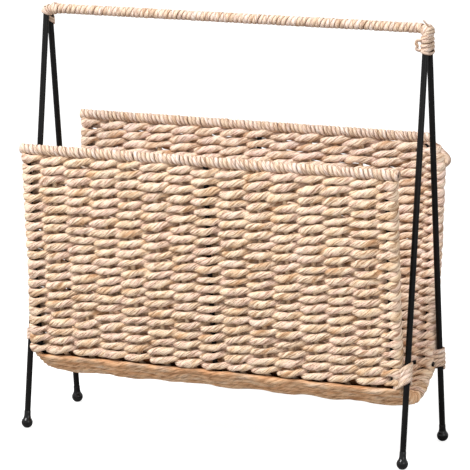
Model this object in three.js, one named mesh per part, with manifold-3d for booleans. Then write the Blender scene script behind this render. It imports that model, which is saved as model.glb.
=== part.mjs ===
// Magazine basket: a woven trough of natural cord, hung between two A-frames of black steel rod
// that are joined by a cord-bound handle. Millimetres, +Z up, +X along the handle, -Y to the front.
// The origin is on the floor, under the middle of the basket.
import * as THREE from 'three';
import { mergeVertices } from 'three/addons/utils/BufferGeometryUtils.js';
import Module from 'manifold-3d';

const wasm = await Module();
wasm.setup();

// Gaps
const touchGap = 0.3;            // between pieces that touch
const turnGap = 0.6;             // between neighbouring turns of a winding
const cutOverrun = 4;            // how far a cutting solid runs past what it cuts

// Steel frame
const frameLength = 404;         // between the planes of the two A-frames
const handleHeight = 419;        // floor to the middle of the handle rod
const footSpread = 116;          // between the middles of a front and a rear foot
const rodDiameter = 6;           // legs and handle
const lowerRodDiameter = 5;
const lowerRodHeight = 82;       // floor to the middle of the lower rods
const lowerRodSpread = 79;       // between the middles of the lower rods

// Feet: a drop-shaped ball round the end of each leg
const footDiameter = 11.5;
const footHeight = 17.5;
const footNeckWall = 0.6;
const footSocketFloor = 2;       // socket's floor above the middle of the ball
const footFlatDepth = 0.3;       // ground off so that the ball stands on a small flat

// Woven trough
const rimSpread = 136;           // between the middles of the front and rear rim rods
const frontRimHeight = 288;
const rearRimHeight = 303;
const rearRimInset = 13.5;       // how much shorter the rear rim is at its right end
const cornerLean = 9;            // how far the right end hoop's rear top leans in to meet it
const cornerDrop = 16;           // height over which it leans
const rimRodDiameter = 5;
const hoopDiameter = 5;          // bent steel rods that carry the trough's shape
const hoopInset = 10;            // from the plane of an A-frame to the middle of the end hoop
const stakeDiameter = 4.6;       // upright cords between the hoops
const weftThickness = 4;         // the woven cord on each side of the stakes
const weaveEndGap = 0.5;         // between the weave's end and a leg
const panelFootGap = 3;          // open strip above the bend at the lower rod
const panelBulge = 2.5;          // how far each side bows out at its middle
const troughDrop = 24;           // from the middle of the lower rods down to the weave's at its lowest
const stakesPerHalf = 6;         // cord stakes on each side of the centre hoop
const floorSlopeAngle = THREE.MathUtils.degToRad(34);

// Cord windings
const cordThickness = 2.4;       // a wound cord lies flattened on what it binds
const lashingWidth = 4.2;
const lashingPitch = 4.9;
const longWrapTurns = 24;
const cornerWrapTurns = 4;
const hitchTurns = 2;
const bindingTurns = 3;
const bindingRise = 6.8;         // from the lower rods up to the middle of a binding's lowest turn
const cornerWrapDrop = 25;       // from the handle down to the lowest turn on the right corner
const hitchDrop = 21;            // the same for the hitch on the left corner

// Facets
const rodSides = 12;
const hoopSides = 8;
const stakeSides = 6;
const footSides = 18;
const ballSteps = 6;
const bendSteps = 3;
const floorSteps = 6;
const handleWrapSteps = 10;
const rimWrapSteps = 8;
const lashingSteps = 12;
const ribbonSides = 4;
const lashingSides = 5;
const gapSamples = 4;

// Derived sizes
const halfFrame = frameLength / 2;
const rodRadius = rodDiameter / 2;
const lowerRodRadius = lowerRodDiameter / 2;
const hoopRadius = hoopDiameter / 2;
const stakeRadius = stakeDiameter / 2;
const rimRodRadius = rimRodDiameter / 2;
const ballRadius = footDiameter / 2;
const legTop = handleHeight + rodRadius;
const footCentreHeight = ballRadius - footFlatDepth;
const legTopOffset = rodRadius + touchGap / 2;
const legLean = (footSpread / 2 - legTopOffset) / (legTop - footCentreHeight);
const hoopX = halfFrame - hoopInset;
const weaveHalfLength = halfFrame - rodRadius - weaveEndGap;
const rodEnd = halfFrame - rodRadius - touchGap;
const weaveHalfThickness = stakeRadius + weftThickness;
const bendRadius = lowerRodRadius + hoopRadius + touchGap;
const troughLow = lowerRodHeight - troughDrop;
const bindingHeight = lowerRodHeight + bindingRise;
const cornerWrapHeight = handleHeight - cornerWrapDrop;
const hitchHeight = handleHeight - hitchDrop;
const stakePitch = hoopX / (stakesPerHalf + 1);

const materials = {
  steel: { color: 0x1d1b1b, roughness: 0.42, metalness: 0.35 },
  foot: { color: 0x0e0d0e, roughness: 0.12, metalness: 0.1 },
  weave: { color: 0xdfbd95, roughness: 0.86, metalness: 0 },
  stake: { color: 0xe7caa4, roughness: 0.85, metalness: 0 },
  wrap: { color: 0xe9cda9, roughness: 0.82, metalness: 0 },
};

function materialOf(kind) {
  return new THREE.MeshStandardMaterial(materials[kind]);
}

function named(name, geometry, kind) {
  const mesh = new THREE.Mesh(geometry, materialOf(kind));
  mesh.name = name;
  return mesh;
}

// Solids that are joined or cut

function weld(geometry) {
  const bare = geometry.index ? geometry.toNonIndexed() : geometry.clone();
  bare.deleteAttribute('normal');
  bare.deleteAttribute('uv');
  const merged = mergeVertices(bare);
  const corners = merged.index.array;
  const kept = [];
  for (let i = 0; i < corners.length; i += 3) {
    const [a, b, c] = corners.slice(i, i + 3);
    if (a !== b && b !== c && c !== a) kept.push(a, b, c);
  }
  merged.setIndex(kept);
  return merged;
}

function toSolid(geometry) {
  const welded = weld(geometry);
  const vertProperties = new Float32Array(welded.attributes.position.array);
  const triVerts = new Uint32Array(welded.index.array);
  return new wasm.Manifold(new wasm.Mesh({ numProp: 3, vertProperties, triVerts }));
}

function toGeometry(solid) {
  const { vertProperties, triVerts } = solid.getMesh();
  const geometry = new THREE.BufferGeometry();
  geometry.setAttribute('position', new THREE.BufferAttribute(vertProperties, 3));
  geometry.setIndex(new THREE.BufferAttribute(triVerts, 1));
  geometry.computeVertexNormals();
  return geometry;
}

// A closed tube through rings of points, each ring with as many points as the last
function ringTube(rings) {
  const sides = rings[0].length;
  const last = rings.length - 1;
  const faces = [];
  for (let i = 0; i < last; i += 1) {
    for (let j = 0; j < sides; j += 1) {
      const next = (j + 1) % sides;
      const [a, b, c, d] = [i * sides + j, i * sides + next, (i + 1) * sides + next, (i + 1) * sides + j];
      faces.push(a, b, c, a, c, d);
    }
  }
  for (let j = 1; j < sides - 1; j += 1) {
    faces.push(0, j + 1, j);
    faces.push(last * sides, last * sides + j, last * sides + j + 1);
  }
  const geometry = new THREE.BufferGeometry().setFromPoints(rings.flat());
  geometry.setIndex(faces);
  geometry.computeVertexNormals();
  return geometry;
}

// Straight rods

function rodMesh(name, from, to, radius, kind) {
  const length = from.distanceTo(to);
  const mesh = named(name, new THREE.CylinderGeometry(radius, radius, length, rodSides), kind);
  mesh.position.lerpVectors(from, to, 1 / 2);
  const up = new THREE.Vector3(0, 1, 0);
  mesh.quaternion.setFromUnitVectors(up, to.clone().sub(from).normalize());
  return mesh;
}

function crossRodCutter(y, z, radius, halfLength) {
  const cutter = new THREE.CylinderGeometry(radius, radius, 2 * halfLength, rodSides);
  cutter.rotateZ(Math.PI / 2);
  cutter.translate(0, y, z);
  return toSolid(cutter);
}

// The A-frames. side is -1 at the left end and 1 at the right, face is -1 at the front and 1 behind.

function legOffset(height) {
  return legTopOffset + legLean * (legTop - height);
}

function legPoint(side, face, height) {
  return new THREE.Vector3(side * halfFrame, face * legOffset(height), height);
}

function legDirection(side, face) {
  return legPoint(side, face, legTop).sub(legPoint(side, face, footCentreHeight)).normalize();
}

function legMesh(name, side, face) {
  const seat = footSocketFloor + touchGap;
  const bottom = legPoint(side, face, footCentreHeight).addScaledVector(legDirection(side, face), seat);
  return rodMesh(name, bottom, legPoint(side, face, legTop), rodRadius, 'steel');
}

// Half outline of a foot along the leg: ball, taper, and the socket that the leg stands in
function footOutline() {
  const neck = new THREE.Vector2(rodRadius + touchGap + footNeckWall, footHeight - ballRadius);
  const tangent = neck.angle() - Math.acos(ballRadius / neck.length());
  const start = -Math.PI / 2;
  const outline = [];
  for (let i = 0; i <= ballSteps; i += 1) {
    const angle = start + (tangent - start) * i / ballSteps;
    const radius = i === 0 ? 0 : ballRadius * Math.cos(angle);
    outline.push(new THREE.Vector2(radius, ballRadius * Math.sin(angle)));
  }
  outline.push(neck);
  outline.push(new THREE.Vector2(rodRadius + touchGap, neck.y));
  outline.push(new THREE.Vector2(rodRadius + touchGap, footSocketFloor));
  outline.push(new THREE.Vector2(0, footSocketFloor));
  return outline;
}

function footMesh(name, side, face) {
  const drop = new THREE.LatheGeometry(footOutline(), footSides);
  const up = new THREE.Vector3(0, 1, 0);
  drop.applyQuaternion(new THREE.Quaternion().setFromUnitVectors(up, legDirection(side, face)));
  const belowFloor = new THREE.BoxGeometry(2 * footDiameter, 2 * footDiameter, footDiameter);
  belowFloor.translate(0, 0, -footCentreHeight - footDiameter / 2);
  const mesh = named(name, toGeometry(toSolid(drop).subtract(toSolid(belowFloor))), 'foot');
  mesh.position.copy(legPoint(side, face, footCentreHeight));
  return mesh;
}

// The trough's middle line in the Y-Z plane, as points (y, z) from one rim to the other

const lowerRodY = lowerRodSpread / 2;

function rimHeight(face) {
  return face < 0 ? frontRimHeight : rearRimHeight;
}

const rimWrapRadius = (rimRodRadius + touchGap) / Math.cos(Math.PI / rimWrapSteps) + cordThickness;

function stakeTop(face) {
  return new THREE.Vector2(rimSpread / 2, rimHeight(face) - rimWrapRadius - touchGap);
}

// One half, from the rim down to the end of the bend round the lower rod, with y outwards
function sideLine(face) {
  const rod = new THREE.Vector2(lowerRodY, lowerRodHeight);
  const top = stakeTop(face);
  const middle = rod.clone().add(top).divideScalar(2);
  middle.x += bendRadius / 2 + panelBulge;
  const toMiddle = middle.clone().sub(rod);
  const bendStart = toMiddle.angle() - Math.acos(bendRadius / toMiddle.length());
  const bendEnd = -Math.PI / 2 + floorSlopeAngle;
  const line = [top, middle];
  for (let i = 0; i <= bendSteps; i += 1) {
    const angle = bendStart + (bendEnd - bendStart) * i / bendSteps;
    const reach = new THREE.Vector2(Math.cos(angle), Math.sin(angle)).multiplyScalar(bendRadius);
    line.push(rod.clone().add(reach));
  }
  return line;
}

// Radius of the floor's arc, which the two slopes run into
function floorRadius() {
  const slopeStart = sideLine(-1).at(-1);
  const drop = slopeStart.y - troughLow;
  const reach = slopeStart.x * Math.tan(floorSlopeAngle) - drop;
  return reach / (1 / Math.cos(floorSlopeAngle) - 1);
}

function floorLine() {
  const radius = floorRadius();
  const line = [];
  for (let i = 0; i <= floorSteps; i += 1) {
    const angle = floorSlopeAngle * (2 * i / floorSteps - 1);
    line.push(new THREE.Vector2(radius * Math.sin(angle), troughLow + radius * (1 - Math.cos(angle))));
  }
  return line;
}

function outward(line, face) {
  return line.map((point) => new THREE.Vector2(face * point.x, point.y));
}

function troughLine() {
  const front = outward(sideLine(-1), -1);
  const rear = outward(sideLine(1), 1).reverse();
  return [...front, ...floorLine(), ...rear];
}

// Normals of a line of points, stretched at each bend so that an offset keeps its distance
function lineNormals(line) {
  return line.map((point, i) => {
    const before = point.clone().sub(line[Math.max(i - 1, 0)]).normalize();
    const after = line[Math.min(i + 1, line.length - 1)].clone().sub(point).normalize();
    const along = before.add(after).normalize();
    const step = i === 0 ? line[1].clone().sub(line[0]) : point.clone().sub(line[i - 1]);
    const bend = along.dot(step.normalize());
    return new THREE.Vector2(-along.y, along.x).divideScalar(bend);
  });
}

// The route of a bent rod or cord: points of the middle line, and the x of each
function levelRoute(x) {
  const line = troughLine();
  return { line, places: line.map(() => x) };
}

function rightHoopRoute() {
  const { line, places } = levelRoute(hoopX);
  const [middle, top] = line.slice(-2);
  const shoulder = top.clone().lerp(middle, cornerDrop / (top.y - middle.y));
  line.splice(-1, 0, shoulder);
  return { line, places: [...places, hoopX - cornerLean] };
}

function bentRod({ line, places }, radius, sides) {
  const normals = lineNormals(line);
  const rings = line.map((point, i) => {
    const ring = [];
    for (let j = 0; j < sides; j += 1) {
      const angle = 2 * Math.PI * (j + 1 / 2) / sides;
      const shift = normals[i].clone().multiplyScalar(radius * Math.sin(angle));
      const x = places[i] - radius * Math.cos(angle);
      ring.push(new THREE.Vector3(x, point.x + shift.x, point.y + shift.y));
    }
    return ring;
  });
  return ringTube(rings);
}

// The same route with its ends run on, for the tunnel that the rod leaves in the weave
function tunnel({ line, places }, radius, sides) {
  const first = line[0].clone().sub(line[1]);
  const last = line.at(-1).clone().sub(line.at(-2));
  const lastRun = cutOverrun / last.length();
  const longer = [line[0].clone().add(first.setLength(cutOverrun)), ...line.slice(1, -1),
    line.at(-1).clone().addScaledVector(last, lastRun)];
  const lean = places.at(-1) - places.at(-2);
  const along = [...places.slice(0, -1), places.at(-1) + lean * lastRun];
  return toSolid(bentRod({ line: longer, places: along }, radius + touchGap, sides));
}

function hoopRoutes() {
  return new Map([
    ['left_end_hoop', levelRoute(-hoopX)],
    ['centre_hoop', levelRoute(0)],
    ['right_end_hoop', rightHoopRoute()],
  ]);
}

const stakePlaces = [];
for (let i = -stakesPerHalf; i <= stakesPerHalf; i += 1) {
  if (i !== 0) stakePlaces.push(i * stakePitch);
}

// Everything that the weave is worked round
function weaveCutters() {
  const cutters = [];
  for (const x of stakePlaces) cutters.push(tunnel(levelRoute(x), stakeRadius, stakeSides));
  for (const route of hoopRoutes().values()) cutters.push(tunnel(route, hoopRadius, hoopSides));
  for (const face of [-1, 1]) {
    const run = weaveHalfLength + cutOverrun;
    cutters.push(crossRodCutter(face * lowerRodY, lowerRodHeight, lowerRodRadius + touchGap, run));
  }
  return cutters;
}

// Room at the lower corners for the cord that binds hoop and leg together
function bindingNotches() {
  const inner = hoopX - hoopRadius - lashingClearance - cordThickness - turnGap;
  const width = weaveHalfLength + cutOverrun - inner;
  const bottom = lowerRodHeight;
  const top = bindingHeight + bindingTurns * lashingPitch + lashingWidth / 2 + turnGap;
  const depth = rimSpread + 2 * weaveHalfThickness;
  return [-1, 1].map((side) => {
    const box = new THREE.BoxGeometry(width, depth, top - bottom);
    box.translate(side * (inner + width / 2), 0, (top + bottom) / 2);
    return toSolid(box);
  });
}

// What the leaning hoop leaves off the rear side's upper right corner
function cornerWedge() {
  const top = stakeTop(1).y;
  const overrunLean = cornerLean * (cornerDrop + cutOverrun) / cornerDrop;
  const right = weaveHalfLength + cutOverrun;
  const outline = new THREE.Shape([
    new THREE.Vector2(weaveHalfLength, top - cornerDrop),
    new THREE.Vector2(right, top - cornerDrop),
    new THREE.Vector2(right, top + cutOverrun),
    new THREE.Vector2(weaveHalfLength - overrunLean, top + cutOverrun),
  ]);
  const depth = rimSpread / 2 + weaveHalfThickness + cutOverrun;
  const wedge = new THREE.ExtrudeGeometry(outline, { depth, bevelEnabled: false });
  wedge.rotateX(Math.PI / 2);
  wedge.translate(0, depth, 0);
  return toSolid(wedge);
}

function band(line) {
  const normals = lineNormals(line);
  const offset = (share) => line.map((point, i) => (
    point.clone().addScaledVector(normals[i], share * weaveHalfThickness)
  ));
  return new THREE.Shape([...offset(-1), ...offset(1).reverse()]);
}

function weaveMesh(name, line, cutters) {
  const length = 2 * weaveHalfLength;
  const slab = new THREE.ExtrudeGeometry(band(line), { depth: length, bevelEnabled: false });
  slab.translate(0, 0, -weaveHalfLength);
  const [x, y, z] = [0, 1, 2].map((axis) => new THREE.Vector3().setComponent(axis, 1));
  slab.applyMatrix4(new THREE.Matrix4().makeBasis(y, z, x));
  let solid = toSolid(slab);
  for (const cutter of cutters) solid = solid.subtract(cutter);
  return named(name, toGeometry(solid), 'weave');
}

function panelLine(face) {
  const [top, middle, bend] = sideLine(face);
  const foot = bend.clone().add(middle.clone().sub(bend).setLength(panelFootGap));
  return outward([top, middle, foot], face);
}

function floorWeaveLine() {
  const front = outward([sideLine(-1).at(-1)], -1);
  const rear = outward([sideLine(1).at(-1)], 1);
  return [...front, ...floorLine(), ...rear];
}

// Windings. place(turn) gives the middle of the cord's section, and its axial and radial directions.

function windingRings(place, turns, steps, section) {
  const rings = [];
  const count = Math.round(turns * steps);
  for (let i = 0; i <= count; i += 1) {
    const { middle, axial, radial } = place(i / steps);
    rings.push(section.map(([along, out]) => (
      middle.clone().addScaledVector(axial, along).addScaledVector(radial, out)
    )));
  }
  return rings;
}

// Least distance between one turn and the next, on points along the tube's edges
function leastTurnGap(rings, steps) {
  const points = rings.slice(0, -1).map((ring, i) => ring.flatMap((corner, j) => {
    const along = [];
    for (let k = 0; k < gapSamples; k += 1) {
      along.push(corner.clone().lerp(rings[i + 1][j], k / gapSamples));
    }
    return along;
  }));
  let least = Infinity;
  for (let i = 0; i < points.length; i += 1) {
    const from = i + Math.round(steps / 2);
    const to = Math.min(i + 2 * steps, points.length);
    for (let k = from; k < to; k += 1) {
      for (const a of points[i]) for (const b of points[k]) least = Math.min(least, a.distanceTo(b));
    }
  }
  return least;
}

function windingMesh(name, place, turns, steps, section) {
  const rings = windingRings(place, turns, steps, section);
  console.log(`${name}: least gap between turns ${leastTurnGap(rings, steps).toFixed(2)} mm`);
  return named(name, ringTube(rings), 'wrap');
}

function roundSection(width, thickness, sides) {
  const section = [];
  for (let i = 0; i < sides; i += 1) {
    const angle = 2 * Math.PI * i / sides;
    section.push([Math.cos(angle) * width / 2, Math.sin(angle) * thickness / 2]);
  }
  return section;
}

function flatSection(width, thickness) {
  const section = [];
  for (let i = 0; i < ribbonSides; i += 1) {
    const along = (i === 0 || i === 3) ? 1 : -1;
    const out = i < 2 ? 1 : -1;
    section.push([along * width / 2, out * thickness / 2]);
  }
  return section;
}

// A long wrap on a rod along X, in flat turns that stand for the many close turns of the real cord
function longWrapMesh(name, [left, right], y, z, radius, steps, hand) {
  const pitch = (right - left + turnGap) / (longWrapTurns + 1);
  const width = pitch - turnGap;
  const reach = (radius + touchGap) / Math.cos(Math.PI / steps) + cordThickness / 2;
  const start = left + width / 2;
  const place = (turn) => {
    const angle = hand * 2 * Math.PI * turn;
    const radial = new THREE.Vector3(0, Math.cos(angle), Math.sin(angle));
    const middle = new THREE.Vector3(start + pitch * turn, y, z).addScaledVector(radial, reach);
    return { middle, radial, axial: new THREE.Vector3(hand, 0, 0) };
  };
  return windingMesh(name, place, longWrapTurns, steps, flatSection(width, cordThickness));
}

const lashingClearance = touchGap + legLean * lashingWidth / 2;

// A lashing that climbs round one or two upright rods. rods(height) gives each rod's [x, y, radius].
function lashingMesh(name, rods, lowest, turns) {
  const ease = 1 / Math.cos(Math.PI / lashingSteps);
  const place = (turn) => {
    const height = lowest + lashingPitch * turn;
    const angle = 2 * Math.PI * turn;
    const radial = new THREE.Vector3(Math.cos(angle), Math.sin(angle), 0);
    const reach = ([x, y, radius]) => {
      const out = (radius + lashingClearance) * ease + cordThickness / 2;
      return new THREE.Vector3(x, y, height).addScaledVector(radial, out);
    };
    const middles = rods(height).map(reach);
    middles.sort((a, b) => b.dot(radial) - a.dot(radial));
    return { middle: middles[0], radial, axial: new THREE.Vector3(0, 0, 1) };
  };
  const section = roundSection(lashingWidth, cordThickness, lashingSides);
  return windingMesh(name, place, turns, lashingSteps, section);
}

function legRod(side, face) {
  return (height) => [side * halfFrame, face * legOffset(height), rodRadius];
}

function hoopRod(side, face) {
  const [, middle, bend] = sideLine(face);
  return (height) => {
    const share = (height - bend.y) / (middle.y - bend.y);
    return [side * hoopX, face * (bend.x + (middle.x - bend.x) * share), hoopRadius];
  };
}

function bindingMesh(name, side, face) {
  const rods = [legRod(side, face), hoopRod(side, face)];
  return lashingMesh(name, (height) => rods.map((rod) => rod(height)), bindingHeight, bindingTurns);
}

function steelFrame() {
  const group = new THREE.Group();
  for (const [side, end] of [[-1, 'left'], [1, 'right']]) {
    for (const [face, where] of [[-1, 'front'], [1, 'rear']]) {
      group.add(legMesh(`${end}_${where}_leg`, side, face));
      group.add(footMesh(`${end}_${where}_foot`, side, face));
    }
  }
  const handleEnds = [-1, 1].map((side) => new THREE.Vector3(side * rodEnd, 0, handleHeight));
  group.add(rodMesh('handle_rod', ...handleEnds, rodRadius, 'steel'));
  for (const [face, where] of [[-1, 'front'], [1, 'rear']]) {
    const ends = [-1, 1].map((side) => (
      new THREE.Vector3(side * weaveHalfLength, face * lowerRodY, lowerRodHeight)
    ));
    group.add(rodMesh(`${where}_lower_rod`, ...ends, lowerRodRadius, 'steel'));
  }
  return group;
}

function wovenTrough() {
  const group = new THREE.Group();
  for (const [name, route] of hoopRoutes()) {
    group.add(named(name, bentRod(route, hoopRadius, hoopSides), 'steel'));
  }
  stakePlaces.forEach((x, i) => {
    group.add(named(`stake_${i + 1}`, bentRod(levelRoute(x), stakeRadius, stakeSides), 'stake'));
  });
  const cutters = weaveCutters();
  const notches = bindingNotches();
  group.add(weaveMesh('front_weave', panelLine(-1), [...cutters, ...notches]));
  const rearCutters = [...cutters, ...notches, cornerWedge()];
  group.add(weaveMesh('rear_weave', panelLine(1).reverse(), rearCutters));
  group.add(weaveMesh('floor_weave', floorWeaveLine(), cutters));
  for (const [face, where] of [[-1, 'front'], [1, 'rear']]) {
    const y = face * rimSpread / 2;
    const z = rimHeight(face);
    const span = [-weaveHalfLength, weaveHalfLength - (face < 0 ? 0 : rearRimInset)];
    const ends = span.map((x) => new THREE.Vector3(x, y, z));
    group.add(rodMesh(`${where}_rim_rod`, ...ends, rimRodRadius, 'steel'));
    const wrapSpan = [span[0] + touchGap, span[1] - touchGap];
    group.add(longWrapMesh(`${where}_rim_wrap`, wrapSpan, y, z, rimRodRadius, rimWrapSteps, 1));
  }
  return group;
}

function cordLashings() {
  const group = new THREE.Group();
  const cornerReach = rodRadius + lashingClearance + cordThickness;
  const halfSpan = halfFrame - cornerReach / Math.cos(Math.PI / lashingSteps) - touchGap;
  const handleSpan = [-halfSpan, halfSpan];
  group.add(longWrapMesh('handle_wrap', handleSpan, 0, handleHeight, rodRadius, handleWrapSteps, -1));
  const rightLegs = [legRod(1, -1), legRod(1, 1)];
  const bothLegs = (height) => rightLegs.map((rod) => rod(height));
  group.add(lashingMesh('right_corner_wrap', bothLegs, cornerWrapHeight, cornerWrapTurns));
  const leftRearLeg = legRod(-1, 1);
  group.add(lashingMesh('left_corner_wrap', (height) => [leftRearLeg(height)], hitchHeight, hitchTurns));
  for (const [side, end] of [[-1, 'left'], [1, 'right']]) {
    for (const [face, where] of [[-1, 'front'], [1, 'rear']]) {
      group.add(bindingMesh(`${end}_${where}_binding`, side, face));
    }
  }
  return group;
}

const basket = new THREE.Group();
basket.add(steelFrame());
basket.add(wovenTrough());
basket.add(cordLashings());

export default basket;
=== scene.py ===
import math

import bpy
import numpy as np
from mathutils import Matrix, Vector


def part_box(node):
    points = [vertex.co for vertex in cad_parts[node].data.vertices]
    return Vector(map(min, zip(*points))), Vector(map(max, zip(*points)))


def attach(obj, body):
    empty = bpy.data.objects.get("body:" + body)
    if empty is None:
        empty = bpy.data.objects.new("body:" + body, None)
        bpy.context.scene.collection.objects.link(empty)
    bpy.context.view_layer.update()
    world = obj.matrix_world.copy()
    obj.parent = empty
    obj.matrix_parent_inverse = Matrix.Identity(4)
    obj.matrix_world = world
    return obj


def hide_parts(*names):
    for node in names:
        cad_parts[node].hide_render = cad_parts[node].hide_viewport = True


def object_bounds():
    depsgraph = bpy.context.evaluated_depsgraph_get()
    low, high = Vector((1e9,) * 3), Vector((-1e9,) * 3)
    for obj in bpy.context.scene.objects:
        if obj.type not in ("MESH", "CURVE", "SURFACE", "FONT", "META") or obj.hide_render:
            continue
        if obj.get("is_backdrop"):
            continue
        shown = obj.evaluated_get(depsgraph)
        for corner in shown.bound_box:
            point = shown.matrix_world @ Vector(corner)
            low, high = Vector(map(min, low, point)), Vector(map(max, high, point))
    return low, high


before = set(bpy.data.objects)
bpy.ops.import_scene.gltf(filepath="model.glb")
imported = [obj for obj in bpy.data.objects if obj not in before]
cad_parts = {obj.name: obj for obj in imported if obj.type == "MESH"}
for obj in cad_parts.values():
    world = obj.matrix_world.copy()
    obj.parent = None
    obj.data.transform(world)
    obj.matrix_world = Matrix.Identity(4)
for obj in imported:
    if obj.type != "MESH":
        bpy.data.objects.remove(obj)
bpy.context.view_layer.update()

# Magazine basket: an open-ended trough of twined plant-fibre cord, hung between two A-frames of
# black powder-coated steel rod whose tops a cord-bound handle joins. Sizes are in millimetres,
# and MM turns them to Blender's metres. +X runs along the handle, -Y is the front, +Z is up.

MM = 0.001
FACES = (-1, 1)                  # front and rear
SIDES = (-1, 1)                  # left and right
FACE_NAME = {-1: "front", 1: "rear"}
SIDE_NAME = {-1: "left", 1: "right"}
X_AXIS, Y_AXIS, Z_AXIS = np.eye(3)
MERGE_DISTANCE = 0.001 * MM      # also how near to a cutting plane a corner counts as on it
SMOOTH_ANGLE = math.radians(40)


# Reading the frame

def box_mm(node):
    """Lowest and highest corner of a node, and its middle."""
    low, high = (np.array(corner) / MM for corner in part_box(node))
    return low, high, (low + high) / 2


def rod_axis(node):
    """The two ends and the radius of a straight rod, its lower or left end first."""
    corners = np.array([v.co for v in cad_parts[node].data.vertices]) / MM
    corners = np.unique(corners.round(3), axis=0)
    centred = corners - corners.mean(0)
    share = centred @ np.linalg.svd(centred, full_matrices=False)[2][0]
    ends = [corners[share < 0].mean(0), corners[share > 0].mean(0)]
    radius = np.linalg.norm(corners[share > 0] - ends[1], axis=1).max()
    ends.sort(key=lambda end: end[0] + end[2])
    return ends[0], ends[1], radius


# Steel frame and trough

HOOP_RADIUS = 2.5
SEAT_GAP = 0.3                   # between a hoop and the rod that it is bent round
TROUGH_DROP = 24.0               # from the middle of the lower rods to the hoops' lowest point
FLOOR_SLOPE = math.radians(34)
PANEL_BULGE = 2.5                # how far each side bows out at its middle
LINE_STEP = 1.0                  # between the samples of the trough's middle line
CORNER_LEAN = 9.0                # how far the right hoop's rear top leans in to the shorter rim
CORNER_DROP = 16.0               # height over which it leans
STAKE_COUNT = 12
END_STAKE = 7                    # the end hoops' place, counted in stakes from the middle

rim_rods = {face: rod_axis(f"{FACE_NAME[face]}_rim_rod") for face in FACES}
legs = {(side, face): rod_axis(f"{SIDE_NAME[side]}_{FACE_NAME[face]}_leg")
        for side in SIDES for face in FACES}
lower_start, _, lower_radius = rod_axis("rear_lower_rod")
lower_y, lower_z = lower_start[1:]
hoop_x = -box_mm("left_end_hoop")[2][0]
stake_x = [box_mm(f"stake_{number}")[2][0] for number in range(1, STAKE_COUNT + 1)]
stake_pitch = hoop_x / END_STAKE
bend_radius = lower_radius + HOOP_RADIUS + SEAT_GAP
trough_low = lower_z - TROUGH_DROP
weave_end = box_mm("front_weave")[1][0]
corner_top = box_mm("right_end_hoop")[1][2]
corner_foot = corner_top - CORNER_DROP


def circle_through(a, b, c):
    """Middle of the circle through three points of a plane."""
    rows = 2 * np.array([b - a, c - a])
    return np.linalg.solve(rows, np.array([b @ b - a @ a, c @ c - a @ a]))


def arc(centre, start, end):
    """Points of the short arc round centre from start to end."""
    first, last = (math.atan2(*(point - centre)[::-1]) for point in (start, end))
    radius = np.linalg.norm(start - centre)
    last += 2 * math.pi * round((first - last) / (2 * math.pi))
    count = max(3, round(abs(last - first) * radius / LINE_STEP) + 1)
    angles = np.linspace(first, last, count)
    return centre + radius * np.column_stack([np.cos(angles), np.sin(angles)])


def half_trough(face):
    """One half of the hoops' middle line as (points, centre of their arc), from the floor out.

    Points are (outwards, up), and a straight stretch has no centre.
    """
    rod = np.array([lower_y, lower_z])
    rim = np.array([abs(rim_rods[face][0][1]), rim_rods[face][0][2] - rim_rods[face][2]])
    middle = (rod + rim) / 2 + [bend_radius / 2 + PANEL_BULGE, 0]
    to_middle = middle - rod
    reach = np.linalg.norm(to_middle)
    upper = math.atan2(*to_middle[::-1]) - math.acos(bend_radius / reach)
    lower = FLOOR_SLOPE - math.pi / 2
    bend_top, bend_low = (
        rod + bend_radius * np.array([math.cos(angle), math.sin(angle)])
        for angle in (upper, lower)
    )
    drop = bend_low[1] - trough_low
    floor_radius = (bend_low[0] * math.tan(FLOOR_SLOPE) - drop) / (1 / math.cos(FLOOR_SLOPE) - 1)
    floor_centre = np.array([0, trough_low + floor_radius])
    slope = np.array([math.sin(FLOOR_SLOPE), -math.cos(FLOOR_SLOPE)])
    floor_end = floor_centre + floor_radius * slope
    panel_centre = circle_through(bend_top, middle, rim)
    return [
        (arc(floor_centre, np.array([0, trough_low]), floor_end), floor_centre),
        (np.array([floor_end, bend_low]), None),
        (arc(rod, bend_low, bend_top), rod),
        (arc(panel_centre, bend_top, rim), panel_centre),
    ]


def trough_stretches():
    """The whole middle line in (y, z), from the front rim to the rear one."""
    mirror = np.array([-1, 1])
    front = [
        (points[::-1] * mirror, None if centre is None else centre * mirror)
        for points, centre in reversed(half_trough(-1))
    ]
    return front + half_trough(1)


class TroughLine:
    """The middle line by its length: its points, and its direction at any place."""

    def __init__(self):
        points = [points for points, _ in trough_stretches()]
        line = np.concatenate([points[0]] + [part[1:] for part in points[1:]])
        dense = [line[0]]
        for a, b in zip(line[:-1], line[1:]):
            count = max(1, math.ceil(np.linalg.norm(b - a) / LINE_STEP))
            dense += [a + (b - a) * i / count for i in range(1, count + 1)]
        self.points = np.array(dense)
        steps = np.linalg.norm(np.diff(self.points, axis=0), axis=1)
        self.length = np.concatenate([[0], np.cumsum(steps)])
        self.tangents = np.gradient(self.points, self.length, axis=0)

    def at(self, place):
        """Points and tangents, in (y, z), at one place or an array of them."""
        point, tangent = (
            np.stack([np.interp(place, self.length, values[:, i]) for i in (0, 1)], -1)
            for values in (self.points, self.tangents)
        )
        return point, tangent / np.linalg.norm(tangent, axis=-1, keepdims=True)

    def place_of(self, face, height):
        """Length along the line at which one side of the trough reaches a height."""
        on_side = (self.points[:, 0] * face > 0) & (self.points[:, 1] > lower_z)
        heights, places = self.points[on_side, 1], self.length[on_side]
        order = np.argsort(heights)
        return float(np.interp(height, heights[order], places[order]))


trough = TroughLine()


# Cords

CORD_SIDES, WOUND_SIDES = 12, 10
CORD_PLIES = 2
FIBRE_UNIT = 10.0                # length along a cord that the fibre coordinate counts as one
CUT_END = (0.55, 0.9)            # thickness of a cord's last ring and the one before, as shares
# The groove is a band of painted shade along each cord's sides; GROOVE_POWER sets how narrow it is
GROOVE_POWER = 3                 # how narrow the groove between two cords is


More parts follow.
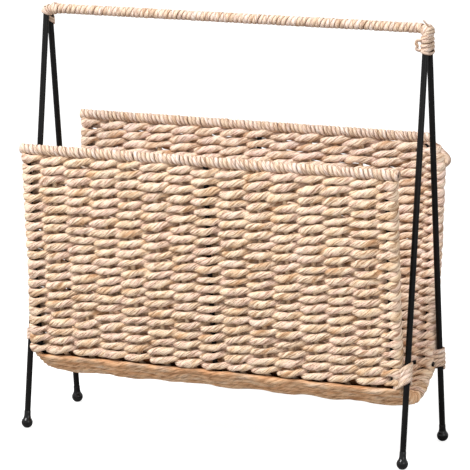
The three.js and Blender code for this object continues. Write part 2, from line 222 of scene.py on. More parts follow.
def ripple(rng, positions, knot):
    """Smooth noise of about unit size over positions, with knots that far apart along them."""
    low = positions.min()
    knots = rng.normal(size=int((positions.max() - low) / knot) + 3)
    share = (positions - low) / knot
    index = share.astype(int)
    ease = share - index
    ease = ease * ease * (3 - 2 * ease)
    return knots[index] * (1 - ease) + knots[index + 1] * ease


def unit(vectors):
    return vectors / np.linalg.norm(vectors, axis=-1, keepdims=True)


def cord(rng, route, side, wide, thick, lay=22.0, relief=0.07, lump=0.05, sides=CORD_SIDES,
         shaded=None):
    """A cord along a route. wide is measured along the vectors in side, thick across them.

    Its plies twist once round in each lay, and stand out of the round by relief. lump is how
    uneven its thickness is. Its groove attribute is painted shade: along its sides, where it meets
    the next turn or row, and on the side that the vectors in shaded point to, which other cords
    keep in shade; the longer they are, the darker that painted shade.
    """
    count = len(route)
    along = np.concatenate([[0], np.cumsum(np.linalg.norm(np.diff(route, axis=0), axis=1))])
    tangent = unit(np.gradient(route, axis=0))
    side = np.broadcast_to(side, route.shape)
    across = unit(side - (side * tangent).sum(1, keepdims=True) * tangent)
    out = np.cross(across, tangent)
    around = 2 * math.pi * np.arange(sides) / sides
    twist = around[None, :] + (2 * math.pi * along / lay + rng.uniform(0, 2 * math.pi))[:, None]
    plies = np.broadcast_to(relief, count)[:, None] * np.cos(CORD_PLIES * twist)
    swell = 1 + plies + lump * ripple(rng, along, lay / 2)[:, None]
    swell[[0, -1]] *= CUT_END[0]
    swell[[1, -2]] *= CUT_END[1]
    half_thick = (np.broadcast_to(thick, count) / 2)[:, None] * np.cos(around) * swell
    half_wide = (np.broadcast_to(wide, count) / 2)[:, None] * np.sin(around) * swell
    rings = (route[:, None] + out[:, None] * half_thick[..., None]
             + across[:, None] * half_wide[..., None])
    length = np.broadcast_to(along[:, None] / FIBRE_UNIT, twist.shape)
    fibre = np.stack([np.cos(twist), np.sin(twist), length], -1)
    # Painted shade along the cord's sides, where the next turn or row meets it, and on the side
    # that shaded points to
    groove = np.broadcast_to(np.abs(np.sin(around)) ** GROOVE_POWER, twist.shape)
    if shaded is not None:
        facing = ((out * shaded).sum(1)[:, None] * np.cos(around)
                  + (across * shaded).sum(1)[:, None] * np.sin(around))
        groove = np.maximum(groove, facing)
    return {"rings": rings, "fibre": fibre, "groove": groove, "strand": rng.uniform()}


def cord_piece(name, cords, material, slot, *nodes):
    """One mesh of all these cords, with what their material reads, in place of CAD nodes."""
    corners, faces, fibres, strands, grooves = [], [], [], [], []
    first = 0
    for made in cords:
        count, sides = made["rings"].shape[:2]
        ring = np.arange(sides)
        turn = (ring + 1) % sides
        rows = first + sides * np.arange(count - 1)[:, None]
        quads = np.stack([rows + ring, rows + turn, rows + sides + turn, rows + sides + ring], -1)
        faces += quads.reshape(-1, 4).tolist()
        faces.append((first + ring[::-1]).tolist())
        faces.append((first + sides * (count - 1) + ring).tolist())
        corners.append(made["rings"].reshape(-1, 3))
        fibres.append(made["fibre"].reshape(-1, 3))
        strands.append(np.full(count * sides, made["strand"]))
        grooves.append(made["groove"].ravel())
        first += count * sides
    mesh = bpy.data.meshes.new(name)
    mesh.from_pydata((np.concatenate(corners) * MM).tolist(), [], faces)
    mesh.shade_smooth()
    fibre = mesh.attributes.new("fibre", "FLOAT_VECTOR", "POINT")
    fibre.data.foreach_set("vector", np.concatenate(fibres).astype(np.float32).ravel())
    for key, values in (("strand", strands), ("groove", grooves)):
        level = mesh.attributes.new(key, "FLOAT", "POINT")
        level.data.foreach_set("value", np.concatenate(values).astype(np.float32))
    piece = bpy.data.objects.new(name, mesh)
    bpy.context.scene.collection.objects.link(piece)
    dress(piece, material, slot, *nodes)


def dress(piece, material, slot, *nodes):
    """Gives a finished piece its material and its body, and hides the CAD nodes that it stands for.
    """
    piece.data.materials.append(material)
    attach(piece, "root")
    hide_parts(*nodes)


# Materials

PEEL_SIZE, PEEL_DEPTH = 1.3 * MM, 0.12 * MM      # orange peel of the powder coat
MOTTLE_SIZE = 14 * MM                            # patches of its gloss
FLOW_SIZE, FLOW_DEPTH = 5 * MM, 0.2 * MM         # waves in the dipped feet
STRAND_SHIFT = 57.0                              # how far apart two cords' patterns lie
PATCH_ROUND, PATCH_LENGTH = 0.45, 100 / 4.2      # scale round a cord, and 4.2 patches to 100 mm
RIDGE_ROUND, RIDGE_LENGTH = 2.3, 100 / 9         # scale round a cord, and 9 fibres to 100 mm
RIDGE_DEPTH = 1.1 * MM                           # deeper than real fibres, so that they show
TONE_FROM, TONE_SPAN = 0.28, 0.44                # of the noise, over which the tones are spread
STREAK_DARK, STREAK_PALE = 0.38, 0.54            # of the noise, between which streaks fade


def linear(code):
    """An sRGB hex colour as linear red, green, blue and alpha."""
    channels = [int(code[i:i + 2], 16) / 255 for i in (0, 2, 4)]
    return [c / 12.92 if c <= 0.04045 else ((c + 0.055) / 1.055) ** 2.4 for c in channels] + [1]


def add(tree, kind, inputs=None, stops=None, **settings):
    """Adds a node. inputs gives its sockets a value or another node's output."""
    made = tree.nodes.new(kind)
    for key, value in settings.items():
        setattr(made, key, value)
    for key, value in (inputs or {}).items():
        if isinstance(value, bpy.types.NodeSocket):
            tree.links.new(value, made.inputs[key])
        else:
            made.inputs[key].default_value = value
    if stops:
        ramp = made.color_ramp.elements
        while len(ramp) < len(stops):
            ramp.new(1)
        for element, (place, colour) in zip(ramp, stops):
            element.position = place
            element.color = colour
    return made


def new_material(name):
    material = bpy.data.materials.new(name)
    material.use_nodes = True
    material.node_tree.nodes.clear()
    return material, material.node_tree


def grey(value):
    return (value, value, value, 1)


def powder_coated_steel():
    """Mild steel rod, blasted and powder coated satin black: a faint orange peel in the gloss."""
    material, tree = new_material("powder_coated_steel")
    place = add(tree, "ShaderNodeTexCoord").outputs["Object"]
    peel = add(tree, "ShaderNodeTexNoise", {"Vector": place, "Scale": 1 / PEEL_SIZE, "Detail": 2})
    mottle = add(tree, "ShaderNodeTexNoise",
                 {"Vector": place, "Scale": 1 / MOTTLE_SIZE, "Detail": 3})
    tint = add(tree, "ShaderNodeValToRGB", {"Fac": mottle.outputs["Fac"]},
               [(0.3, linear("0c0b0b")), (0.7, linear("131212"))])
    gloss = add(tree, "ShaderNodeMapRange",
                {"Value": mottle.outputs["Fac"], "To Min": 0.3, "To Max": 0.4})
    bump = add(tree, "ShaderNodeBump",
               {"Height": peel.outputs["Fac"], "Strength": 0.25, "Distance": PEEL_DEPTH})
    shader = add(tree, "ShaderNodeBsdfPrincipled", {
        "Base Color": tint.outputs["Color"], "Roughness": gloss.outputs["Result"],
        "IOR": 1.5, "Specular IOR Level": 0.14, "Normal": bump.outputs["Normal"]})
    add(tree, "ShaderNodeOutputMaterial", {"Surface": shader.outputs["BSDF"]})
    return material


def dipped_gloss_plastic():
    """Black thermoplastic that the leg's end was dipped in: glossy, with a slight flow in it."""
    material, tree = new_material("dipped_gloss_plastic")
    place = add(tree, "ShaderNodeTexCoord").outputs["Object"]
    flow = add(tree, "ShaderNodeTexNoise", {"Vector": place, "Scale": 1 / FLOW_SIZE, "Detail": 1})
    tint = add(tree, "ShaderNodeValToRGB", {"Fac": flow.outputs["Fac"]},
               [(0.3, linear("0b0a0b")), (0.7, linear("131213"))])
    gloss = add(tree, "ShaderNodeMapRange",
                {"Value": flow.outputs["Fac"], "To Min": 0.08, "To Max": 0.16})
    bump = add(tree, "ShaderNodeBump",
               {"Height": flow.outputs["Fac"], "Strength": 0.15, "Distance": FLOW_DEPTH})
    shader = add(tree, "ShaderNodeBsdfPrincipled", {
        "Base Color": tint.outputs["Color"], "Roughness": gloss.outputs["Result"],
        "IOR": 1.49, "Specular IOR Level": 0.28, "Normal": bump.outputs["Normal"]})
    add(tree, "ShaderNodeOutputMaterial", {"Surface": shader.outputs["BSDF"]})
    return material


def plant_fibre_cord(name, tones, streak, streak_depth, groove_shade_amount):
    """Dried plant fibre twisted by hand into cord: dull, ridged along the twist, and patchy.

    tones are its colours from the darkest to the palest patch, streak that of the lines between
    fibres. The pattern follows each cord: fibre is (cosine and sine round the twist, length).
    The last argument is how much painted shade darkens it towards the streak colour where one
    turn or row meets the next, and on the side that other cords shade.
    """
    material, tree = new_material(name)
    fibre = add(tree, "ShaderNodeAttribute", attribute_name="fibre").outputs["Vector"]
    strand = add(tree, "ShaderNodeAttribute", attribute_name="strand").outputs["Fac"]
    groove = add(tree, "ShaderNodeAttribute", attribute_name="groove").outputs["Fac"]
    shift = add(tree, "ShaderNodeMath", {0: strand, 1: STRAND_SHIFT}, operation="MULTIPLY")
    shift = add(tree, "ShaderNodeCombineXYZ", {"Z": shift.outputs[0]})
    place = add(tree, "ShaderNodeVectorMath", {0: fibre, 1: shift.outputs[0]},
                operation="ADD").outputs[0]
    patch_place, ridge_place = (
        add(tree, "ShaderNodeVectorMath", {0: place, 1: (turned, turned, FIBRE_UNIT / length)},
            operation="MULTIPLY").outputs[0]
        for turned, length in ((PATCH_ROUND, PATCH_LENGTH), (RIDGE_ROUND, RIDGE_LENGTH))
    )
    patch = add(tree, "ShaderNodeTexNoise", {"Vector": patch_place, "Scale": 1.0, "Detail": 2.5})
    step = TONE_SPAN / (len(tones) - 1)
    tone = add(tree, "ShaderNodeValToRGB", {"Fac": patch.outputs["Fac"]},
               [(TONE_FROM + step * i, linear(code)) for i, code in enumerate(tones)])
    ridge = add(tree, "ShaderNodeTexNoise",
                {"Vector": ridge_place, "Scale": 1.0, "Detail": 4, "Roughness": 0.65})
    line = add(tree, "ShaderNodeValToRGB", {"Fac": ridge.outputs["Fac"]},
               [(STREAK_DARK, grey(streak_depth)), (STREAK_PALE, grey(0.0))])
    streaked = add(tree, "ShaderNodeMix", {
        "Factor": line.outputs["Color"], "A": tone.outputs["Color"], "B": linear(streak)},
        data_type="RGBA")
    # Painted shade: darkens the cord towards the streak colour where the groove attribute is high
    painted_groove_shade = add(tree, "ShaderNodeMath", {0: groove, 1: groove_shade_amount}, operation="MULTIPLY")
    colour = add(tree, "ShaderNodeMix", {
        "Factor": painted_groove_shade.outputs[0], "A": streaked.outputs["Result"], "B": linear(streak)},
        data_type="RGBA")
    bump = add(tree, "ShaderNodeBump",
               {"Height": ridge.outputs["Fac"], "Strength": 0.9, "Distance": RIDGE_DEPTH})
    shader = add(tree, "ShaderNodeBsdfPrincipled", {
        "Base Color": colour.outputs["Result"], "Roughness": 0.78, "IOR": 1.45,
        "Specular IOR Level": 0.3, "Normal": bump.outputs["Normal"]})
    add(tree, "ShaderNodeOutputMaterial", {"Surface": shader.outputs["BSDF"]})
    return material


steel = powder_coated_steel()
foot_plastic = dipped_gloss_plastic()
# Each material's last number is how much painted shade darkens it where turns or rows meet
weft_fibre = plant_fibre_cord(
    "twined_plant_fibre", ["d0a47d", "eeceab", "fbe3c8", "f6d3be", "fae5d0"], "83552f", 0.85, 0.15)
# Orange-brown copy of the fibre for the floor's laid rows: painted warm shade of the trough's
# underside, on cord that is the same as the twined rows'
floor_fibre_painted_shade = plant_fibre_cord(
    "laid_plant_fibre_painted_shade", ["d89f70", "f6c294", "ffd6ac", "ffe2c4"], "8a5329", 0.75, 0.4)
# Paler copy of the twined fibre: painted light on the rear panel, whose inner face the lamps leave
# darker
rear_fibre_painted_light = plant_fibre_cord(
    "twined_plant_fibre_rear_painted_light", ["d2a885", "f0d2b6", "fbe6d0", "f8d9c9", "fbe9dc"],
    "83552f", 0.8, 0.15)
stake_fibre = plant_fibre_cord(
    "upright_plant_fibre", ["d8b08a", "efd2b0", "f7e2c6"], "946b48", 0.7, 0.1)
wound_fibre = plant_fibre_cord(
    "wound_plant_fibre", ["d6b294", "f0d8be", "f6dccb", "fff4e8"], "855a3c", 0.8, 0.65)


# Straight rods: legs, handle, lower rods and rim rods

ROD_FACETS = 32
ROD_EDGE = 0.5                   # rounding of a sawn end
ROD_EDGE_STEPS = 3
ROD_EDGE_ANGLE = math.radians(60)


def steel_rod(node):
    start, end, radius = rod_axis(node)
    axis = Vector(end - start)
    bpy.ops.object.select_all(action="DESELECT")
    bpy.ops.mesh.primitive_cylinder_add(
        vertices=ROD_FACETS, radius=radius * MM, depth=axis.length * MM,
        location=Vector((start + end) / 2) * MM, rotation=axis.to_track_quat("Z", "Y").to_euler())
    rod = bpy.context.object
    rod.name = f"{node}_steel"
    bevel = rod.modifiers.new("sawn_ends", "BEVEL")
    bevel.width = ROD_EDGE * MM
    bevel.segments = ROD_EDGE_STEPS
    bevel.limit_method = "ANGLE"
    bevel.angle_limit = ROD_EDGE_ANGLE
    bpy.ops.object.modifier_apply(modifier=bevel.name)
    bpy.ops.object.transform_apply(location=True, rotation=True, scale=True)
    bpy.ops.object.shade_smooth_by_angle(angle=SMOOTH_ANGLE)
    dress(rod, steel, "painted_steel", node)


steel_rod("handle_rod")
for face in FACES:
    for kind in ("lower", "rim"):
        steel_rod(f"{FACE_NAME[face]}_{kind}_rod")
for side in SIDES:
    for face in FACES:
        steel_rod(f"{SIDE_NAME[side]}_{FACE_NAME[face]}_leg")


# Bent hoops: a round section drawn down the front, round each bend and up the rear

HOOP_FACETS = 16
BEND_STEP = math.radians(9)
LEAN_RINGS = 5


def bent_hoop(node):
    x = box_mm(node)[2][0]
    start, along = trough.at(0.0)
    bpy.ops.object.select_all(action="DESELECT")
    facing = Vector((0, *along)).to_track_quat("Z", "X").to_euler()
    bpy.ops.mesh.primitive_circle_add(
        vertices=HOOP_FACETS, radius=HOOP_RADIUS * MM, fill_type="NGON",
        location=Vector((x, *start)) * MM, rotation=facing)
    hoop = bpy.context.object
    hoop.name = f"{node}_steel"
    bpy.ops.object.transform_apply(location=True, rotation=True, scale=True)
    bpy.ops.object.mode_set(mode="EDIT")
    bpy.ops.mesh.select_all(action="SELECT")
    for points, centre in trough_stretches():
        if centre is None:
            step = Vector((0, *(points[-1] - points[0]))) * MM
            bpy.ops.mesh.extrude_region_move(TRANSFORM_OT_translate={"value": step})
        else:
            first, last = (math.atan2(*(point - centre)[::-1]) for point in points[[0, -1]])
            angle = (last - first) % (2 * math.pi)
            bpy.ops.mesh.spin(steps=max(2, math.ceil(angle / BEND_STEP)), angle=-angle,
                              center=Vector((0, *centre)) * MM, axis=(1, 0, 0))
    bpy.ops.mesh.select_all(action="SELECT")
    bpy.ops.mesh.remove_doubles(threshold=MERGE_DISTANCE)
    bpy.ops.mesh.normals_make_consistent(inside=False)
    if node == "right_end_hoop":
        for height in np.linspace(corner_foot, corner_top, LEAN_RINGS):
            bpy.ops.mesh.select_all(action="SELECT")
            bpy.ops.mesh.bisect(plane_co=(0, 0, height * MM), plane_no=(0, 0, 1),
                                threshold=MERGE_DISTANCE)
    bpy.ops.object.mode_set(mode="OBJECT")
    if node == "right_end_hoop":
        for corner in hoop.data.vertices:
            above = corner.co.z / MM - corner_foot
            if corner.co.y > 0 and above > 0:
                corner.co.x -= CORNER_LEAN * above / CORNER_DROP * MM
    bpy.ops.object.shade_smooth_by_angle(angle=SMOOTH_ANGLE)
    dress(hoop, steel, "painted_steel", node)


for hoop_node in ("left_end_hoop", "centre_hoop", "right_end_hoop"):
    bent_hoop(hoop_node)


# Feet: a ball drawn up into a neck, with the socket that the leg stands in

BALL_RADIUS = 5.75
BALL_TOP = 3.9                   # above the ball's middle, where it goes over into the neck
FOOT_HEIGHT = 17.5
SOCKET_FLOOR = 2.3               # leg's end above the middle of the ball
SOCKET_GAP = 0.1                 # between the leg and its socket, round it and under its end
NECK_WALL = 0.3
NECK_EDGE = (0.3, 0.1)           # height and width of the slope round the neck's mouth
NECK_FLARE = ((5.2, 0.5), (6.4, 0.2), (8.2, 0.04))    # height, and how much flare is left there
FOOT_FACETS = 32
FOOT_RINGS = 24


def foot_drop(radius):
    """The foot upright, with the middle of its ball at the origin."""
    neck_top = FOOT_HEIGHT - BALL_RADIUS
    neck = radius + NECK_WALL
    socket = radius + SOCKET_GAP
    ring = math.sqrt(BALL_RADIUS ** 2 - BALL_TOP ** 2)
    bpy.ops.object.select_all(action="DESELECT")
    bpy.ops.mesh.primitive_uv_sphere_add(segments=FOOT_FACETS, ring_count=FOOT_RINGS,
                                         radius=BALL_RADIUS * MM)
    drop = bpy.context.object
    bpy.ops.object.mode_set(mode="EDIT")
    bpy.ops.mesh.select_all(action="SELECT")
    bpy.ops.mesh.bisect(plane_co=(0, 0, BALL_TOP * MM), plane_no=(0, 0, 1), clear_outer=True)
    steps = [(height, neck + flare * (ring - neck)) for height, flare in NECK_FLARE]
    steps += [(neck_top - NECK_EDGE[0], neck), (neck_top, neck - NECK_EDGE[1]),
              (neck_top, socket), (SOCKET_FLOOR - SOCKET_GAP, socket)]
    height, width = BALL_TOP, ring
    for next_height, next_width in steps:
        bpy.ops.mesh.extrude_region_move(
            TRANSFORM_OT_translate={"value": (0, 0, (next_height - height) * MM)})
        share = next_width / width
        bpy.ops.transform.resize(value=(share, share, 1), center_override=(0, 0, next_height * MM))
        height, width = next_height, next_width
    bpy.ops.mesh.edge_face_add()
    bpy.ops.mesh.select_all(action="SELECT")
    bpy.ops.mesh.normals_make_consistent(inside=False)
    bpy.ops.object.mode_set(mode="OBJECT")
    return drop


def stand_foot(side, face):
    """A copy of the foot on the end of its leg, ground off where it meets the floor."""
    bottom, top, _ = legs[(side, face)]
    lean = Vector(top - bottom).normalized()
    foot = foot_model.copy()
    foot.data = foot_model.data.copy()
    foot.name = f"{SIDE_NAME[side]}_{FACE_NAME[face]}_foot_drop"
    bpy.context.scene.collection.objects.link(foot)
    foot.rotation_euler = lean.to_track_quat("Z", "Y").to_euler()
    foot.location = (Vector(bottom) - SOCKET_FLOOR * lean) * MM
    bpy.ops.object.select_all(action="DESELECT")
    foot.select_set(True)
    bpy.context.view_layer.objects.active = foot
    bpy.ops.object.transform_apply(location=True, rotation=True, scale=True)
    bpy.ops.object.mode_set(mode="EDIT")
    bpy.ops.mesh.select_all(action="SELECT")
    bpy.ops.mesh.bisect(plane_co=(0, 0, 0), plane_no=(0, 0, 1), clear_inner=True, use_fill=True,
                        threshold=MERGE_DISTANCE)
    bpy.ops.object.mode_set(mode="OBJECT")
    bpy.ops.object.shade_smooth_by_angle(angle=SMOOTH_ANGLE)
    dress(foot, foot_plastic, "foot_cap", f"{SIDE_NAME[side]}_{FACE_NAME[face]}_foot")


foot_model = foot_drop(legs[(1, -1)][2])
for side in SIDES:
    for face in FACES:
        stand_foot(side, face)
bpy.data.objects.remove(foot_model)


# Stakes: upright cords down the front, under the floor and up the rear

STAKE_DIAMETER = 4.6
STAKE_LAY = 18
STAKE_STEP = 2.5                 # between its rings
STAKE_SWAY, SWAY_RUN = 0.35, 25  # how far a stake strays sideways, and over what length

stake_rng = np.random.default_rng(11)
stake_places = np.linspace(0, trough.length[-1], round(trough.length[-1] / STAKE_STEP))
stake_points, _ = trough.at(stake_places)
for number, x in enumerate(stake_x, 1):
    sway = x + STAKE_SWAY * ripple(stake_rng, stake_places, SWAY_RUN)
    stake = cord(stake_rng, np.column_stack([sway, stake_points]), X_AXIS, STAKE_DIAMETER,
                 STAKE_DIAMETER, lay=STAKE_LAY)
    cord_piece(f"stake_cord_{number}", [stake], stake_fibre, "cord_stake", f"stake_{number}")


# Twined rows: in each, two cords change places between the stakes and turn round the end hoops

FRONT_ROWS, REAR_ROWS, FLOOR_ROWS = 21, 25, 11
TOP_ROW_DROP = 8.7               # from a rim rod down to the first row
BOTTOM_ROW_RISE = 0.4            # from the lower rods up to the last row
FLOOR_ROW_START = 0.2            # from the end of the bend to the floor's first row
STEPS_PER_STAKE = 11
TURN_STEPS = 9
ODD_STAKES, EVEN_STAKES = range(-5, 6, 2), range(-4, 5, 2)

# Where a cord lies: its middle from the stakes' middle, how quickly it goes from one face to the
# other (1 as a sine), how much further out an outer laid cord lies, and how much further in a
# cord passes over a lower rod, within what height of it
WEFT_DEPTH = 4.6
OUT_SHARPNESS = 0.66
LAID_FULLNESS = 1.6
ROD_REACH, ROD_NEAR = 5.4, 3.5

# Its form: width and thickness over a stake on the face that shows, the same on the other face
# and where the two cords cross, how far they part there, and the twist. The front half of the
# floor isn't twined: its cords run straight, one outside the stakes and one inside
TWINED = {"lens": (7.5, 4.7), "behind": (11.2, 4.7), "crossing": (5.9, 6.4), "parting": 2.3,
          "lay": 36.0, "relief": 0.12, "straight": 0.0}
CLOSER_TWINED = TWINED | {"lens": (7.7, 4.7), "behind": (9.5, 4.7), "crossing": (5.4, 6.4)}
LAID = {"lens": (9.8, 6.6), "behind": (9.8, 4.4), "crossing": (9.8, 6.0), "parting": 0.0,
        "lay": 70.0, "relief": 0.08, "straight": 0.96}
LENS_SHARPNESS = 0.95            # how it narrows towards a crossing, 1 as a sine
FLATTENED = 0.6                  # how far its plies are pressed flat on the face that is hidden
# Painted shade: how dark each twined cord is painted on the side that faces the stakes
CREVICE_PAINTED_SHADE = 3.2                    # how dark it is on the side that faces the stakes

# Its turn round an end hoop: its middle from the hoop's, its size and rise there, over what
# length it widens, how it narrows just before, and how much wider its last crossing is
TURN_REACH = 4.6
TURN_WIDE, TURN_THICK = 10.2, 4.4
TURN_RISE = 0.3                  # as a share of the parting
TURN_EASE = 6.0
PINCH, PINCH_FROM, PINCH_RUN = 0.28, 8.5, 3.8
FILL, FILL_RUN = 0.16, 5.0

# How uneven the hand's work is: places of the crossings as shares of a stake's pitch, depth,
# parting, height in millimetres, and width of a row and of a stitch
UNEVEN_CROSSING = 0.09
UNEVEN_DEPTH = 0.08
UNEVEN_PARTING = 0.14
UNEVEN_HEIGHT = 0.35
UNEVEN_ROW, UNEVEN_STITCH = 0.03, 0.09

# How rows drift up and down together, in millimetres over lengths in millimetres
FIRST_DRIFT = ((0.55, 70), (0.3, 35))
NEXT_DRIFT = (0.26, 50)
DRIFT_KEPT = 0.85                # share of a row's drift that the next row keeps
DRIFT_PAST, DRIFT_SAMPLES = 10, 60       # beyond the ends of the weave, and over all of it

# Corners: how far the lowest rows at the front left end reach over the leg, from what height
# down, how far the ends of the top rows sag at the leaning corner, how fast that grows towards
# the end, and over what length it fades out downwards
LEG_REACH, LEG_REACH_TOP = 4.8, 170.0
DROOP, DROOP_POWER, DROOP_RUN = 5.5, 1.5, 32.0


def row_loop(start, inside):
    """The loop of one row: stakes from the middle, strand, reach and depth of its turns, turn.

    It starts at a stake on the run outside the trough, or on the run inside.
    """
    last_step = END_STAKE * STEPS_PER_STAKE
    straight = np.arange(-last_step, last_step + 1) / STEPS_PER_STAKE
    turning = math.pi * np.arange(1, TURN_STEPS) / TURN_STEPS
    flat = np.zeros_like(straight)
    level = np.zeros_like(turning)
    parts = [
        (straight, flat + 1, flat, flat, flat),
        (level + END_STAKE, level, np.sin(turning), -np.cos(turning), turning),
        (straight[::-1], flat - 1, flat, flat, flat),
        (level - END_STAKE, level, -np.sin(turning), np.cos(turning), turning),
    ]
    loop = np.concatenate([np.column_stack(part) for part in parts])
    shift = int(np.argmin(np.abs(straight - start)))
    if inside:
        shift = 2 * len(straight) + len(turning) - 1 - shift
    return np.roll(loop, -shift, axis=0)


def past_last_stake(x):
    """0 up to the last stake before an end hoop and 1 at the hoop."""
    last_stake = (END_STAKE - 1) * stake_pitch
    return np.clip((x - last_stake) / (hoop_x - last_stake), 0, 1)


def row_ends(x, point):
    """Moves the ends of a row in at the leaning corner, and out over the front left leg."""
    y, z = point.T
    over_leg = LEG_REACH * np.clip((LEG_REACH_TOP - z) / (LEG_REACH_TOP - lower_z), 0, 1)
    out = over_leg * ((x < 0) & (y < -lower_y) & (z > lower_z - ROD_NEAR))
    lean = CORNER_LEAN * np.clip((z - corner_foot) / CORNER_DROP, 0, 1)
    return x - past_last_stake(np.abs(x)) * (out + lean * ((x > 0) & (y > 0)))


def droop(x, place):
    """How far back along the trough's line a row sags, where the rear rim is drawn in."""
    top = np.clip(1 - (trough.length[-1] - place) / DROOP_RUN, 0, 1)
    return -DROOP * past_last_stake(x) ** DROOP_POWER * top


def twined_row(rng, place, sizes, drift):
    """One row at a place along the trough's line. drift moves it along that line, by x."""
    outside_shows = trough.at(place)[0][0] < 0
    start = float(rng.choice(ODD_STAKES if outside_shows else EVEN_STAKES))
    stakes, strand, reach, turn_depth, turn = row_loop(start, sizes["straight"] > 0).T
    on_run = strand != 0
    order = np.arange(len(stakes), dtype=float) * stake_pitch / STEPS_PER_STAKE

    def uneven(size, run=stake_pitch):
        return size * ripple(rng, order, run)

    # Place of the cord's middle. Its crossings stray less and less over the last half stake
    from_end = np.clip((END_STAKE - np.abs(stakes)) * 2, 0, 1)
    phase = math.pi * (stakes + from_end * uneven(UNEVEN_CROSSING))
    over, rise = strand * np.cos(phase), strand * np.sin(phase)
    depth = np.where(on_run, np.sign(over) * np.abs(over) ** OUT_SHARPNESS, turn_depth)
    laid = np.where(on_run, strand, turn_depth)
    depth += (laid - depth) * sizes["straight"]
    height = np.where(on_run, rise * np.abs(rise), TURN_RISE * np.sin(2 * turn))
    x = stakes * stake_pitch + reach * TURN_REACH
    point, tangent = trough.at(place + drift(x) + droop(x, place))
    over_rod = ROD_REACH * np.exp(-((point[:, 1] - lower_z) / ROD_NEAR) ** 2)
    further = (LAID_FULLNESS * sizes["straight"] * np.maximum(depth, 0)
               + over_rod * np.minimum(depth, 0))
    outward = np.column_stack([0 * x, tangent[:, 1], -tangent[:, 0]])
    upward = np.column_stack([0 * x, -tangent])
    out = WEFT_DEPTH * (1 + uneven(UNEVEN_DEPTH)) * depth + further
    lift = sizes["parting"] * (1 + uneven(UNEVEN_PARTING)) * height
    lift += uneven(UNEVEN_HEIGHT, stake_pitch / 2)
    route = (np.column_stack([row_ends(x, point), point])
             + outward * out[:, None] + upward * lift[:, None])

    # Width and thickness: full over the stakes, slim at the crossings, broad round the hoops
    lens = np.abs(np.cos(phase)) ** LENS_SHARPNESS * on_run
    shown = over > 0 if outside_shows else over < 0
    before_turn = hoop_x - np.abs(x)
    end = np.clip(1 - before_turn / TURN_EASE, 0, 1)
    swell = 1 + UNEVEN_ROW * rng.normal() + uneven(UNEVEN_STITCH)
    pinch = 1 - PINCH * np.exp(-((before_turn - PINCH_FROM) / PINCH_RUN) ** 2) * shown
    pinch += FILL * np.exp(-((before_turn - stake_pitch / 2) / FILL_RUN) ** 2)
    wide, thick = (
        (crossing + (np.where(shown, full * swell, behind) - crossing) * lens) * (1 - end)
        + at_turn * end
        for full, behind, crossing, at_turn in zip(
            sizes["lens"], sizes["behind"], sizes["crossing"], (TURN_WIDE, TURN_THICK))
    )
    # Painted shade on the side of each cord that faces the stakes, darker the further it lies from
    # them
    shaded = -outward * (CREVICE_PAINTED_SHADE * np.clip(depth, -1, 1))[:, None]
    relief = sizes["relief"] * (1 - FLATTENED * lens * ~shown)
    return cord(rng, route, upward, wide * pinch, thick, lay=sizes["lay"], relief=relief,
                shaded=shaded)


def twined_rows(seed, places, sizes):
    """Rows that drift up and down together, each a little on its own."""
    rng = np.random.default_rng(seed)
    grid = np.linspace(-weave_end - DRIFT_PAST, weave_end + DRIFT_PAST, DRIFT_SAMPLES)
    shared = sum(size * ripple(rng, grid, run) for size, run in FIRST_DRIFT)
    rows = []
    for place in places:
        shared = DRIFT_KEPT * shared + NEXT_DRIFT[0] * ripple(rng, grid, NEXT_DRIFT[1])
        rows.append(twined_row(rng, place, sizes, lambda x: np.interp(x, grid, shared)))
    return rows


def panel_places(face, count):
    top = trough.place_of(face, rim_rods[face][0][2] - TOP_ROW_DROP)
    bottom = trough.place_of(face, lower_z + BOTTOM_ROW_RISE)
    return np.linspace(top, bottom, count)


def floor_row_places():
    below_bends = trough.points[:, 1] < lower_z - bend_radius * math.cos(FLOOR_SLOPE)
    line = trough.length[below_bends]
    return np.linspace(line[0] + FLOOR_ROW_START, line[-1] - FLOOR_ROW_START, FLOOR_ROWS)


# The row in the middle of the floor counts to its front half
floor_places = floor_row_places()
front_half = floor_places < np.interp(0, trough.points[:, 0], trough.length) + LINE_STEP
cord_piece("front_weft_rows", twined_rows(21, panel_places(-1, FRONT_ROWS), TWINED),
           weft_fibre, "cord_weave", "front_weave")
cord_piece("rear_weft_rows", twined_rows(22, panel_places(1, REAR_ROWS), CLOSER_TWINED),
           rear_fibre_painted_light, "cord_weave", "rear_weave")
cord_piece("floor_laid_rows", twined_rows(23, floor_places[front_half], LAID),
           floor_fibre_painted_shade, "cord_weave", "floor_weave")
cord_piece("floor_weft_rows", twined_rows(24, floor_places[~front_half], TWINED),
           weft_fibre, "cord_weave", "floor_weave")


# Windings along the rims and the handle

WOUND_STEPS = 24
WOUND_LAY, WOUND_RELIEF = 26, 0.05
UNEVEN_PITCH, UNEVEN_LIFT, UNEVEN_WIDTH = 0.2, 0.12, 0.06
PITCH_RUN, LIFT_RUN, WIDTH_RUN = 0.5, 0.4, 0.5   # in turns
RIM_THICK, RIM_PITCH = 2.8, 4.5
RIM_PAST = 1.4                   # how far the rims' windings bulge past the ends of the rods
HANDLE_THICK, HANDLE_PITCH = 2.0, 5.0
HANDLE_PAST = 1.6                # how far the handle's winding runs on into the corners
HANDLE_LIFT = 1.2                # how much fuller its winding is above the rod than under it
END_SWELL, END_SWELL_RUN = 1.7, 5.0      # how much thicker it starts, at the left
ROUTE_STEP = 0.8

# The rear rim's cord runs on past the rim, slants down over the leaning hoop and tucks in again
CORNER_KNUCKLE = [(176, 68, 300.5), (184, 68.5, 296), (191, 69, 291), (197.2, 69, 285.6),
                  (199.6, 68.5, 281.6), (197.8, 68, 278.2), (193, 67, 277)]
KNUCKLE_WIDE, KNUCKLE_THICK, KNUCKLE_LAY = 7.4, 6.4, 30


